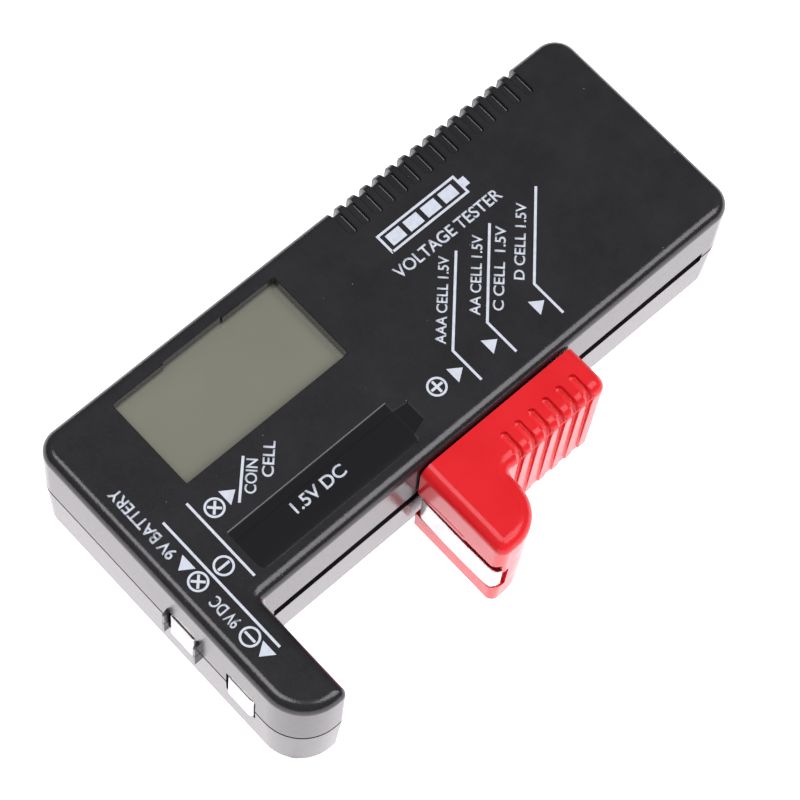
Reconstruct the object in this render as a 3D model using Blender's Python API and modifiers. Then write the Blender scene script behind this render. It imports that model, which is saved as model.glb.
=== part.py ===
"""Universal battery tester with a liquid crystal display and a sliding contact.

Two moulded half shells meet at a seam at mid height. An arm at one end carries
the fixed contacts, and a red slider runs along a slot in one side and brings its
own contact up to the other end of the cell. The slot lies on the seam, so the
slider's inner flange is caught when the shells are screwed together.

Every length below is in millimetres, and the shape helpers turn it into metres.
Case axes: x runs along the case from the 9 V end, y across it from the slider's
side, z up from the back. The model's origin is the middle of the case's back.
"""
import math

import bmesh
import bpy
from mathutils import Matrix, Vector

MM = 0.001

# Driving dimensions: the case
CASE_LENGTH = 108.0
CASE_WIDTH = 40.5
CASE_HEIGHT = 24.0
ARM_THICKNESS = 9.45
ARM_REACH = 19.0
SEAM_HEIGHT = 11.7
SEAM_GAP = 0.3
WALL = 1.8
TOP_WALL = 2.0
CORNER_RADIUS = 4.0
ARM_END_RADIUS = 7.4
TOP_FILLET = 1.9
BACK_DRAFT = 0.5
BACK_FILLET = 0.5
GAP = 0.3
CORNER_STEPS = 5
FILLET_STEPS = 4
MIN_RADIUS = 0.1
FRONT_BOSS_RADIUS = 2.75
BACK_BOSS_RADIUS = 3.4
BOARD_BOSS_RADIUS = 2.2
BOSS_ROOT = 22.6
CASE_PILOT_RADIUS = 1.4
BOARD_PILOT_RADIUS = 1.15
COUNTERBORE_RADIUS = 2.6
COUNTERBORE_DEPTH = 2.6
INNER_RIB = 0.8
HOLDER_HALF = 0.75

# The slot that the slider runs in, and the slider
SLOT_START = 12.2
SLOT_END = 102.4
SLOT_LOW = 10.4
SLOT_HIGH = 13.2
SLIDER_START = 40.9
SLIDER_END = 72.3
SLIDER_TOP = 22.3
SLIDER_BOTTOM = 0.3
SLIDER_DEPTH = 8.4
LOBE_DEPTH = 18.1
LOBE_WIDTH = 10.1
SLIDER_FILLET = 2.2
SLIDER_DRAFT = 0.35
GRIP_COUNT = 6
SLIDER_FOOT = 0.4
GRIP_PITCH = 2.85
GRIP_FIRST = 54.15
GRIP_WIDTH = 1.5
GRIP_DEPTH = 0.63
CORED_CELLS = [((x, -5.9, -1.0), (x + 6.6, -2.0, 19.6)) for x in (47.2, 55.3, 63.4)]
CORED_CELLS.append(((45.6, -14.2, -1.0), (48.5, -8.6, 19.6)))
STRIP_THICKNESS = 0.35
LEAF_LOW = 5.4
LEAF_HIGH = 12.1
POCKET_LOW = 5.05
POCKET_HIGH = 13.2

# Front face features
LCD_LOW = (13.1, 20.6)
LCD_HIGH = (45.1, 37.35)
TROUGH_LOW = (12.4, 2.95)
TROUGH_HIGH = (43.6, 11.0)
TROUGH_DEPTH = 0.5
BUTTON_LOW = (43.0, 5.0)
BUTTON_HIGH = (46.3, 9.0)
RIB_COUNT = 15
RIB_PITCH = 2.665
RIB_FIRST = 59.5
RIB_WIDTH = 1.45
RIB_DEPTH = 0.8
RIB_REACH = 5.8

# Contacts: a 9 V battery's snaps stand 12.7 apart
SNAP_PITCH = 12.7
POSITIVE_Y = 6.4
CONTACT_LOW = 8.6
CONTACT_HIGH = 15.2
WINDOW_LOW = 8.3
WINDOW_HIGH = 15.5
EAR_THICKNESS = 0.8
EAR_REACH = 1.0
CELL_PAD_LOW = -10.0
CELL_PAD_HIGH = -2.6

# Circuit board and display
BOARD_LOW = (9.5, 8.8, 15.8)
BOARD_HIGH = (58.0, 38.3, 17.4)
GLASS_LOW = (11.5, 17.2)
GLASS_HIGH = (46.7, 38.3)
GLASS_TOP = 21.7
GLASS_THICKNESS = 1.0
LEDGE_WIDTH = 3.0
BOARD_BOSSES = [(12.6, 12.6), (54.5, 12.6), (54.5, 35.0)]
CASE_BOSSES = [(5.2, 33.0), (4.7, -14.0), (102.0, 34.5), (101.8, 10.6)]
RAIL_Y = 6.05
RAIL_POSTS = [20.0, 60.0, 97.0]

BLACK_ABS = (0.045, 0.043, 0.048)
RED_ABS = (0.76, 0.02, 0.025)
NICKEL = (0.80, 0.78, 0.74)


def clear_scene():
    for obj in list(bpy.data.objects):
        bpy.data.objects.remove(obj, do_unlink=True)


def new_collection(name):
    collection = bpy.data.collections.new(name)
    bpy.context.scene.collection.children.link(collection)
    return collection


def material(name, colour, roughness, metallic=0.0):
    mat = bpy.data.materials.new(name)
    mat.use_nodes = True
    shader = mat.node_tree.nodes["Principled BSDF"]
    shader.inputs["Base Color"].default_value = (*colour, 1.0)
    shader.inputs["Roughness"].default_value = roughness
    shader.inputs["Metallic"].default_value = metallic
    return mat


clear_scene()
PARTS = new_collection("battery_tester")
CUTTERS = new_collection("cutters")
DATUM = bpy.data.objects.new("case_datum", None)
DATUM.location = (-CASE_LENGTH / 2 * MM, -CASE_WIDTH / 2 * MM, 0.0)
PARTS.objects.link(DATUM)

MAT_CASE = material("case_black", BLACK_ABS, 0.5)
MAT_SLIDER = material("slider_red", RED_ABS, 0.22)
MAT_METAL = material("nickel_plate", NICKEL, 0.22, 1.0)
MAT_STEEL = material("screw_steel", (0.45, 0.44, 0.43), 0.35, 1.0)
MAT_GLASS = material("display_glass", (0.23, 0.24, 0.19), 0.12)
MAT_BOARD = material("board_green", (0.03, 0.16, 0.06), 0.45)
MAT_RUBBER = material("zebra_grey", (0.12, 0.12, 0.12), 0.8)
MAT_BLACK_PART = material("component_black", (0.02, 0.02, 0.02), 0.5)
MAT_RESISTOR = material("resistor_body", (0.55, 0.42, 0.26), 0.5)
MAT_CERAMIC = material("ceramic_disc", (0.62, 0.34, 0.10), 0.5)
MAT_WIRE_RED = material("wire_red", (0.55, 0.02, 0.02), 0.45)
MAT_WIRE_BLACK = material("wire_black", (0.02, 0.02, 0.02), 0.45)


# ---------------------------------------------------------------- shape helpers

def finish_mesh(name, bm, mat, collection=PARTS):
    """Turn a bmesh in case axes and millimetres into an object on the datum."""
    bmesh.ops.scale(bm, vec=(MM, MM, MM), verts=bm.verts)
    mesh = bpy.data.meshes.new(name)
    bm.to_mesh(mesh)
    bm.free()
    obj = bpy.data.objects.new(name, mesh)
    collection.objects.link(obj)
    obj.parent = DATUM
    if mat is not None:
        mesh.materials.append(mat)
    return obj


def as_cutter(name, bm):
    """A shape that only cuts or joins others: it is drawn as wire and never built."""
    obj = finish_mesh(name, bm, None, CUTTERS)
    obj.hide_render = True
    obj.display_type = "WIRE"
    return obj


def boolean(target, tool, operation):
    modifier = target.modifiers.new(f"{operation.lower()}_{tool.name}", "BOOLEAN")
    modifier.object = tool
    modifier.operation = operation
    modifier.solver = "EXACT"


def cut(target, name, bm):
    boolean(target, as_cutter(name, bm), "DIFFERENCE")


def add(target, name, bm):
    boolean(target, as_cutter(name, bm), "UNION")


def set_origin(obj, point):
    """Move the object's origin to a point in case axes, leaving its mesh in place."""
    offset = Vector(point) * MM
    obj.data.transform(Matrix.Translation(-offset))
    obj.location = offset


def smooth(obj, angle=math.radians(35)):
    obj.data.shade_smooth()
    obj.data.set_sharp_from_angle(angle=angle)


def boxes(pairs):
    """Several separate boxes in one tool."""
    bm = bmesh.new()
    for low, high in pairs:
        size = [b - a for a, b in zip(low, high)]
        middle = [(a + b) / 2 for a, b in zip(low, high)]
        placed = Matrix.Translation(middle) @ Matrix.Diagonal((*size, 1.0))
        bmesh.ops.create_cube(bm, size=1.0, matrix=placed)
    return bm


def box(low, high):
    return boxes([(low, high)])


def cylinders(places, radius, low, high, segments=16):
    """Upright cylinders of one size, at each (x, y)."""
    bm = bmesh.new()
    for x, y in places:
        placed = Matrix.Translation((x, y, (low + high) / 2))
        bmesh.ops.create_cone(bm, cap_ends=True, segments=segments, radius1=radius,
                              radius2=radius, depth=high - low, matrix=placed)
    return bm


def plates(outline, spans, to_space):
    """Extrude a flat outline over each (low, high) span; to_space(u, v, w) places a corner."""
    bm = bmesh.new()
    for low, high in spans:
        face = bm.faces.new([bm.verts.new(to_space(u, v, low)) for u, v in outline])
        grown = bmesh.ops.extrude_face_region(bm, geom=[face])
        moved = [item for item in grown["geom"] if isinstance(item, bmesh.types.BMVert)]
        shift = Vector(to_space(0, 0, high)) - Vector(to_space(0, 0, low))
        bmesh.ops.translate(bm, verts=moved, vec=shift)
    bmesh.ops.recalc_face_normals(bm, faces=bm.faces)
    if bm.calc_volume(signed=True) < 0:
        bmesh.ops.reverse_faces(bm, faces=bm.faces)
    return bm


def plate(outline, low, high, to_space):
    return plates(outline, [(low, high)], to_space)


def along_x(u, v, w):
    return (w, u, v)


def along_y(u, v, w):
    return (u, w, v)


def along_z(u, v, w):
    return (u, v, w)


def loft(rings):
    """Close a stack of rings, all with the same number of points, into one solid."""
    bm = bmesh.new()
    loops = [[bm.verts.new(point) for point in ring] for ring in rings]
    count = len(loops[0])
    for lower, upper in zip(loops, loops[1:]):
        for i in range(count):
            j = (i + 1) % count
            bm.faces.new((lower[i], lower[j], upper[j], upper[i]))
    bm.faces.new(list(reversed(loops[0])))
    bm.faces.new(loops[-1])
    return bm


def rounded(corners, inset=0.0, steps=CORNER_STEPS):
    """Outline through (x, y, radius) corners, anticlockwise, drawn in by inset."""
    count = len(corners)
    points = [Vector(corner[:2]) for corner in corners]
    edges = [(points[(i + 1) % count] - points[i]).normalized() for i in range(count)]
    outline = []
    for i, (x, y, radius) in enumerate(corners):
        before, after = edges[i - 1], edges[i]
        turn = before.x * after.y - before.y * after.x
        inward = Vector((-before.y - after.y, before.x + after.x)) / (1 + before.dot(after))
        corner = points[i] + inward * inset
        radius = radius + inset if turn < 0 else max(radius - inset, MIN_RADIUS)
        half = (math.pi - math.acos(max(-1.0, min(1.0, before.dot(after))))) / 2
        centre = corner + (after - before).normalized() * radius / math.sin(half)
        start = corner - before * radius / math.tan(half) - centre
        sweep = math.copysign(math.pi - 2 * half, turn)
        for k in range(steps + 1):
            angle = sweep * k / steps
            outline.append((centre.x + start.x * math.cos(angle) - start.y * math.sin(angle),
                            centre.y + start.x * math.sin(angle) + start.y * math.cos(angle)))
    return outline


def fillet_rings(corners, height, radius, inset=0.0):
    """Rings that round an outline's top edge over to the flat at height."""
    rings = []
    for k in range(FILLET_STEPS + 1):
        angle = math.pi / 2 * k / FILLET_STEPS
        drawn_in = inset + radius * (1 - math.cos(angle))
        z = height - radius + radius * math.sin(angle)
        rings.append([(x, y, z) for x, y in rounded(corners, drawn_in)])
    return rings


def ring(corners, inset, z):
    return [(x, y, z) for x, y in rounded(corners, inset)]


def strip(name, route, low, high, mat=MAT_METAL):
    """Sheet-metal strip on edge: its (x, y) route, standing from low to high."""
    bm = bmesh.new()
    verts = [bm.verts.new((x, y, low)) for x, y in route]
    edges = [bm.edges.new(pair) for pair in zip(verts, verts[1:])]
    grown = bmesh.ops.extrude_edge_only(bm, edges=edges)
    moved = [item for item in grown["geom"] if isinstance(item, bmesh.types.BMVert)]
    bmesh.ops.translate(bm, verts=moved, vec=(0, 0, high - low))
    obj = finish_mesh(name, bm, mat)
    solid = obj.modifiers.new("thickness", "SOLIDIFY")
    solid.thickness = STRIP_THICKNESS * MM
    solid.offset = 0.0
    solid.use_even_offset = True
    return obj


def turned(name, profile, mat, steps=16):
    """Solid of revolution about z from (radius, z) points, listed from top to bottom."""
    bm = bmesh.new()
    verts = [bm.verts.new((radius, 0, z)) for radius, z in profile]
    for pair in zip(verts, verts[1:]):
        bm.edges.new(pair)
    bmesh.ops.scale(bm, vec=(MM, MM, MM), verts=bm.verts)
    mesh = bpy.data.meshes.new(name)
    bm.to_mesh(mesh)
    bm.free()
    obj = bpy.data.objects.new(name, mesh)
    PARTS.objects.link(obj)
    obj.parent = DATUM
    mesh.materials.append(mat)
    screw = obj.modifiers.new("turn", "SCREW")
    screw.steps = screw.render_steps = steps
    screw.use_merge_vertices = True
    screw.merge_threshold = 0.00001
    return obj


def smooth_route(points, samples):
    """Points along a Catmull-Rom curve through the given ones."""
    knots = [Vector(p) for p in points]
    knots = [2 * knots[0] - knots[1]] + knots + [2 * knots[-1] - knots[-2]]
    spans = len(knots) - 3
    route = []
    for k in range(samples + 1):
        place = min(k / samples * spans, spans - 1e-9)
        i, t = int(place), place - int(place)
        a, b, c, d = knots[i:i + 4]
        route.append(0.5 * (2 * b + (c - a) * t + (2 * a - 5 * b + 4 * c - d) * t ** 2
                            + (3 * b - a - 3 * c + d) * t ** 3))
    return route


def wire(name, points, mat, radius=0.5, samples=14):
    curve = bpy.data.curves.new(name, "CURVE")
    curve.dimensions = "3D"
    curve.bevel_depth = radius * MM
    curve.bevel_resolution = 2
    curve.use_fill_caps = True
    route = smooth_route(points, samples)
    spline = curve.splines.new("POLY")
    spline.points.add(len(route) - 1)
    for point, place in zip(spline.points, route):
        point.co = (*(place * MM), 1.0)
    curve.materials.append(mat)
    obj = bpy.data.objects.new(name, curve)
    PARTS.objects.link(obj)
    obj.parent = DATUM
    return obj


# ---------------------------------------------------------------- the two shells

CASE_CORNERS = [
    (0.0, -ARM_REACH, ARM_END_RADIUS),
    (ARM_THICKNESS, -ARM_REACH, 1.2),
    (ARM_THICKNESS, 0.0, 0.8),
    (CASE_LENGTH, 0.0, CORNER_RADIUS),
    (CASE_LENGTH, CASE_WIDTH, CORNER_RADIUS),
    (0.0, CASE_WIDTH, CORNER_RADIUS),
]
CAVITY_CORNERS = [
    (WALL, WALL - ARM_REACH, 4.0),
    (ARM_THICKNESS - WALL, WALL - ARM_REACH, 1.0),
    (ARM_THICKNESS - WALL, WALL, 1.5),
    (CASE_LENGTH - WALL, WALL, 2.2),
    (CASE_LENGTH - WALL, CASE_WIDTH - WALL, 2.2),
    (WALL, CASE_WIDTH - WALL, 2.2),
]
NEGATIVE_Y = POSITIVE_Y - SNAP_PITCH
SNAP_HALF = 2.9
SEAM_TOP = SEAM_HEIGHT + SEAM_GAP / 2
SEAM_BOTTOM = SEAM_HEIGHT - SEAM_GAP / 2


def contact_windows():
    """Openings for the four contacts and the slider's slot, across both shells."""
    snaps = [((-1.5, y - SNAP_HALF - GAP, WINDOW_LOW), (WALL + 0.4, y + SNAP_HALF + GAP, WINDOW_HIGH))
             for y in (POSITIVE_Y, NEGATIVE_Y)]
    cell = ((ARM_THICKNESS - WALL - 0.4, CELL_PAD_LOW - GAP, WINDOW_LOW),
            (ARM_THICKNESS + 1.0, CELL_PAD_HIGH + GAP, WINDOW_HIGH))
    slot = ((SLOT_START, -1.0, SLOT_LOW), (SLOT_END, WALL + 0.4, SLOT_HIGH))
    return boxes(snaps + [cell, slot])


def polarity_ears(low, high):
    """Two ears beside the positive snap contact, which only the smaller snap fits between."""
    slope = [(0.8, low), (-EAR_REACH, low), (-EAR_REACH, min(high, 14.9)), (0.8, min(high, 16.6))]
    tools = []
    for side in (-1, 1):
        inner = POSITIVE_Y + side * SNAP_HALF
        outer = inner + side * EAR_THICKNESS
        tools.append(plate(slope, min(inner, outer), max(inner, outer), along_y))
    return tools


def groove_spans(first, pitch, count, width):
    return [(first + i * pitch - width / 2, first + i * pitch + width / 2) for i in range(count)]


def rib_grooves():
    """Finger grooves that run over the long edge and down the side wall."""
    edge = CASE_WIDTH - RIB_DEPTH
    floor = CASE_HEIGHT - RIB_DEPTH
    start = CASE_WIDTH - RIB_REACH
    profile = [(start, CASE_HEIGHT + 0.3), (start + 0.6, floor), (edge - 1.2, floor), (edge, floor - 1.2),
               (edge, 16.0), (CASE_WIDTH + 1.0, 14.6), (CASE_WIDTH + 1.0, CASE_HEIGHT + 0.3)]
    return plates(profile, groove_spans(RIB_FIRST, RIB_PITCH, RIB_COUNT, RIB_WIDTH), along_x)


def front_shell():
    rings = [ring(CASE_CORNERS, 0.0, SEAM_TOP)] + fillet_rings(CASE_CORNERS, CASE_HEIGHT, TOP_FILLET)
    shell = finish_mesh("front_shell", loft(rings), MAT_CASE)
    cavity = [ring(CAVITY_CORNERS, 0.0, z) for z in (SEAM_BOTTOM - 1, CASE_HEIGHT - TOP_WALL)]
    cut(shell, "front_cavity", loft(cavity))
    add(shell, "front_case_bosses", cylinders(CASE_BOSSES, FRONT_BOSS_RADIUS, SEAM_TOP + 0.1, BOSS_ROOT))
    board_posts = cylinders(BOARD_BOSSES, BOARD_BOSS_RADIUS, BOARD_HIGH[2] + GAP, BOSS_ROOT)
    add(shell, "front_board_bosses", board_posts)
    holders = [((x - HOLDER_HALF, RAIL_Y - 0.75, 13.8), (x + HOLDER_HALF, RAIL_Y + 1.25, BOSS_ROOT))
               for x in RAIL_POSTS]
    outside = GAP + INNER_RIB
    fence = [((GLASS_LOW[0] - outside, 18.0, 18.4), (GLASS_LOW[0] - GAP, 36.0, BOSS_ROOT)),
             ((GLASS_HIGH[0] + GAP, 18.0, 18.4), (GLASS_HIGH[0] + outside, 36.0, BOSS_ROOT)),
             ((16.0, GLASS_LOW[1] - outside, 18.4), (44.0, GLASS_LOW[1] - GAP, BOSS_ROOT))]
    add(shell, "front_inner_ribs", boxes(holders + fence))
    cut(shell, "front_case_pilots", cylinders(CASE_BOSSES, CASE_PILOT_RADIUS, 10.0, 19.5, 12))
    cut(shell, "front_board_pilots", cylinders(BOARD_BOSSES, BOARD_PILOT_RADIUS, 16.0, 21.6, 12))
    for i, ear in enumerate(polarity_ears(SEAM_TOP, CASE_HEIGHT)):
        add(shell, f"front_ear_{i + 1}", ear)
    cut(shell, "front_windows", contact_windows())
    rim = [(LCD_LOW[0], LCD_LOW[1], 0.8), (LCD_HIGH[0], LCD_LOW[1], 0.8),
           (LCD_HIGH[0], LCD_HIGH[1], 0.8), (LCD_LOW[0], LCD_HIGH[1], 0.8)]
    cut(shell, "display_opening", plate(rounded(rim, steps=3), 20.0, 25.0, along_z))
    floor = CASE_HEIGHT - TROUGH_DEPTH
    cut(shell, "trough", box((*TROUGH_LOW, floor), (*TROUGH_HIGH, 25.0)))
    cut(shell, "trough_button", box((*BUTTON_LOW, floor), (*BUTTON_HIGH, 25.0)))
    cut(shell, "edge_grooves", rib_grooves())
    return shell


def back_shell():
    rings = [ring(CASE_CORNERS, BACK_DRAFT + BACK_FILLET, 0.0), ring(CASE_CORNERS, BACK_DRAFT, BACK_FILLET),
             ring(CASE_CORNERS, 0.0, SEAM_BOTTOM)]
    shell = finish_mesh("back_shell", loft(rings), MAT_CASE)
    cavity = [ring(CAVITY_CORNERS, BACK_DRAFT, WALL), ring(CAVITY_CORNERS, 0.0, SEAM_TOP + 1)]
    cut(shell, "back_cavity", loft(cavity))
    add(shell, "back_case_bosses", cylinders(CASE_BOSSES, BACK_BOSS_RADIUS, 0.6, SEAM_BOTTOM - 0.1))
    posts = [((x - HOLDER_HALF, RAIL_Y - 0.75, 0.9), (x + HOLDER_HALF, RAIL_Y + 1.25, 9.0))
             for x in RAIL_POSTS]
    add(shell, "back_rail_posts", boxes(posts))
    cut(shell, "back_screw_holes", cylinders(CASE_BOSSES, CASE_PILOT_RADIUS, -1.0, 13.0, 12))
    cut(shell, "back_counterbores", cylinders(CASE_BOSSES, COUNTERBORE_RADIUS, -1.0, COUNTERBORE_DEPTH))
    for i, ear in enumerate(polarity_ears(8.45, SEAM_BOTTOM)):
        add(shell, f"back_ear_{i + 1}", ear)
    cut(shell, "back_windows", contact_windows())
    return shell


# ---------------------------------------------------------------- the slider

SLIDER_CORNERS = [
    (SLIDER_START, 3.0, 0.5),
    (SLIDER_START, -LOBE_DEPTH, 1.8),
    (SLIDER_START + LOBE_WIDTH, -LOBE_DEPTH, 6.8),
    (SLIDER_START + LOBE_WIDTH, -SLIDER_DEPTH, 1.2),
    (SLIDER_END, -SLIDER_DEPTH, 1.8),
    (SLIDER_END, 3.0, 0.5),
]
NECK_START = 44.0
NECK_END = 70.3
FACE_Y = -0.35
CONTACT_PIVOT = (41.4, -1.0, 8.3)


def grip_grooves():
    """Finger grooves that start in the top and run down the slider's outer side."""
    floor = -SLIDER_DEPTH + GRIP_DEPTH
    clear = -SLIDER_DEPTH - 1.5
    profile = [(-3.7, SLIDER_TOP + 0.1), (-3.9, SLIDER_TOP - 0.3), (-6.3, SLIDER_TOP - 1.15),
               (-7.1, SLIDER_TOP - 1.35), (floor, SLIDER_TOP - 3.1), (floor, -1.0), (clear, -1.0),
               (clear, SLIDER_TOP + 1.0), (-3.7, SLIDER_TOP + 1.0)]
    return plates(profile, groove_spans(GRIP_FIRST, GRIP_PITCH, GRIP_COUNT, GRIP_WIDTH), along_x)


def slider_body():
    rings = [ring(SLIDER_CORNERS, SLIDER_DRAFT + SLIDER_FOOT, SLIDER_BOTTOM),
             ring(SLIDER_CORNERS, SLIDER_DRAFT, SLIDER_BOTTOM + SLIDER_FOOT)]
    rings += fillet_rings(SLIDER_CORNERS, SLIDER_TOP, SLIDER_FILLET)
    body = finish_mesh("slider_body", loft(rings), MAT_SLIDER)
    cut(body, "slider_face", box((30.0, FACE_Y, -2.0), (80.0, 8.0, 30.0)))
    neck = (NECK_START, FACE_Y - 0.5, SLOT_LOW + GAP), (NECK_END, 2.9, SLOT_HIGH - GAP)
    flange = (NECK_START, WALL + 0.35, 8.2), (NECK_END, 3.75, 15.2)
    add(body, "slider_neck", box(*neck))
    add(body, "slider_flange", box(*flange))
    cut(body, "slider_cells", boxes(CORED_CELLS))
    cut(body, "contact_pocket", box((38.0, -16.3, POCKET_LOW), (44.0, 1.0, POCKET_HIGH)))
    cut(body, "pocket_end", box((38.0, -17.9, POCKET_LOW), (42.8, -16.2, POCKET_HIGH)))
    cut(body, "curl_notch", box((38.0, -19.5, POCKET_LOW), (43.5, -16.95, LEAF_HIGH + 0.3)))
    cut(body, "grip_grooves", grip_grooves())
    return body


def slider_contact():
    """Leaf along the slider's face, with its free end turned into the notch."""
    route = [(42.7, -1.35), (42.0, -1.0), (41.5, -1.15), (41.3, -2.0), (41.2, -6.5), (41.2, -12.0),
             (41.3, -15.9), (41.5, -16.8), (41.9, -17.3), (42.6, -17.45)]
    contact = strip("slider_contact", route, LEAF_LOW, LEAF_HIGH)
    set_origin(contact, CONTACT_PIVOT)
    return contact


def slider_wiper():
    """Leaf that runs from the slider's contact through the slot to the rail inside."""
    route = [(43.4, -1.2), (43.4, 3.6), (43.7, 4.15), (51.0, 4.15), (53.5, 4.8), (55.0, 5.5),
             (56.5, 4.8), (59.0, 4.15), (62.0, 4.15)]
    return strip("slider_wiper", route, SLOT_LOW + 0.5, SLOT_HIGH - 0.5)


# ---------------------------------------------------------------- fixed contacts

def snap_contact(name, middle, proud):
    """Arched strip that looks out of a window in the 9 V end."""
    half = SNAP_HALF - STRIP_THICKNESS / 2 - 0.05
    leg = 3.4
    route = [(leg, middle - half), (0.5 - proud, middle - half), (0.15 - proud, middle - half + 0.4),
             (-0.1 - proud, middle - 1.3), (-0.1 - proud, middle + 1.3),
             (0.15 - proud, middle + half - 0.4), (0.5 - proud, middle + half), (leg, middle + half)]
    return strip(name, route, CONTACT_LOW, CONTACT_HIGH)


def cell_negative_contact():
    """Arched strip that looks out of the arm's inner face, at the cell's flat end."""
    low = CELL_PAD_LOW + STRIP_THICKNESS / 2 + 0.05
    high = CELL_PAD_HIGH - STRIP_THICKNESS / 2 - 0.05
    face = ARM_THICKNESS
    route = [(face - 3.2, low), (face - 0.3, low), (face + 0.1, low + 0.5), (face + 0.35, low + 2.4),
             (face + 0.35, high - 2.4), (face + 0.1, high - 0.5), (face - 0.3, high), (face - 3.2, high)]
    return strip("cell_negative_contact", route, CONTACT_LOW, CONTACT_HIGH)


def contact_rail():
    bm = box((SLOT_START + 1.0, RAIL_Y, 9.3), (SLOT_END - 0.6, RAIL_Y + 0.4, 13.5))
    return finish_mesh("contact_rail", bm, MAT_METAL)


# ---------------------------------------------------------------- display and board

def display():
    back_low = GLASS_LOW[1] + LEDGE_WIDTH
    front_z = GLASS_TOP - GLASS_THICKNESS
    back_z = front_z - GAP - GLASS_THICKNESS
    finish_mesh("lcd_front_glass", box((*GLASS_LOW, front_z), (*GLASS_HIGH, GLASS_TOP)), MAT_GLASS)
    rear = box((GLASS_LOW[0], back_low, back_z), (*GLASS_HIGH, front_z - GAP))
    finish_mesh("lcd_back_glass", rear, MAT_GLASS)
    foil = box((GLASS_LOW[0], back_low, back_z - 0.6), (*GLASS_HIGH, back_z - GAP))
    finish_mesh("lcd_reflector", foil, MAT_METAL)
    zebra = box((GLASS_LOW[0] + 1.5, GLASS_LOW[1] + 0.4, BOARD_HIGH[2] + GAP),
                (GLASS_HIGH[0] - 1.5, back_low - 0.6, front_z - GAP))
    finish_mesh("zebra_strip", zebra, MAT_RUBBER)


def circuit_board():
    board = finish_mesh("circuit_board", box(BOARD_LOW, BOARD_HIGH), MAT_BOARD)
    cut(board, "board_holes", cylinders(BOARD_BOSSES, 1.3, 14.0, 19.0, 12))
    return board


def upside_down(obj, x, y, z):
    """Place a part that hangs under the board, its own z pointing down."""
    obj.location = Vector((x, y, z)) * MM
    obj.rotation_euler = (math.pi, 0, 0)


def axial_part(name, x, y, length, radius, mat):
    """Axial component under the board: a turned body on a bent lead."""
    reach = length / 2 + 2.0
    drop = radius + 1.2
    foot = BOARD_LOW[2] - GAP
    route = [(x - reach, y, foot), (x - reach, y, foot - drop), (x + reach, y, foot - drop),
             (x + reach, y, foot)]
    curve = bpy.data.curves.new(name, "CURVE")
    curve.dimensions = "3D"
    curve.bevel_depth = 0.3 * MM
    curve.bevel_resolution = 1
    curve.use_fill_caps = True
    spline = curve.splines.new("POLY")
    spline.points.add(len(route) - 1)
    for point, place in zip(spline.points, route):
        point.co = (*(Vector(place) * MM), 1.0)
    guide = bpy.data.objects.new(name + "_lead", curve)
    CUTTERS.objects.link(guide)
    bpy.context.view_layer.update()
    evaluated = guide.evaluated_get(bpy.context.evaluated_depsgraph_get())
    lead = bmesh.new()
    lead.from_mesh(bpy.data.meshes.new_from_object(evaluated))
    bpy.data.objects.remove(guide)
    bmesh.ops.remove_doubles(lead, verts=lead.verts, dist=0.000001)
    bmesh.ops.scale(lead, vec=(1 / MM, 1 / MM, 1 / MM), verts=lead.verts)
    obj = finish_mesh(name, lead, mat)
    body = bmesh.new()
    placed = Matrix.Translation((x, y, foot - drop)) @ Matrix.Rotation(math.pi / 2, 4, "Y")
    bmesh.ops.create_cone(body, cap_ends=True, segments=12, radius1=radius, radius2=radius,
                          depth=length, matrix=placed)
    add(obj, name + "_body", body)
    return obj


def board_parts():
    under = BOARD_LOW[2] - GAP
    dome = [(0, 1.7), (2.0, 1.5), (3.6, 0.9), (4.5, 0.0), (0, 0.0)]
    blob = turned("controller_blob", dome, MAT_BLACK_PART, 20)
    upside_down(blob, 30.0, 27.0, under)
    can = [(0, 8.0), (2.2, 8.0), (2.5, 7.6), (2.5, 1.6), (2.3, 1.3), (2.5, 1.0), (2.5, 0.3), (0, 0.3)]
    upside_down(turned("electrolytic_capacitor", can, MAT_BLACK_PART), 48.0, 29.0, under)
    drum = [(0, 6.0), (3.2, 6.0), (3.2, 5.0), (2.3, 4.6), (2.3, 1.4), (3.2, 1.0), (3.2, 0.0), (0, 0.0)]
    upside_down(turned("boost_inductor", drum, MAT_BLACK_PART), 50.0, 20.5, under)
    for i, x in enumerate((20.0, 40.5)):
        disc = [(0, 1.2), (2.0, 1.2), (2.4, 0.6), (2.0, 0.0), (0, 0.0)]
        upside_down(turned(f"ceramic_capacitor_{i + 1}", disc, MAT_CERAMIC, 12), x, 33.0, under)
    angles = [math.radians(-35 + 250 * k / 8) for k in range(9)]
    flat_side = [(2.3 * math.cos(a), 2.3 * math.sin(a)) for a in angles]
    body = plate(flat_side, 0.0, 4.6, along_z)
    transistor = finish_mesh("boost_transistor", body, MAT_BLACK_PART)
    upside_down(transistor, 41.0, 22.0, under - 1.0)
    axial_part("load_resistor_cell", 24.0, 18.0, 6.3, 1.2, MAT_RESISTOR)
    axial_part("load_resistor_nine_volt", 24.0, 13.0, 6.3, 1.2, MAT_RESISTOR)
    axial_part("rectifier_diode", 42.0, 14.0, 4.0, 1.0, MAT_BLACK_PART)


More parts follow.
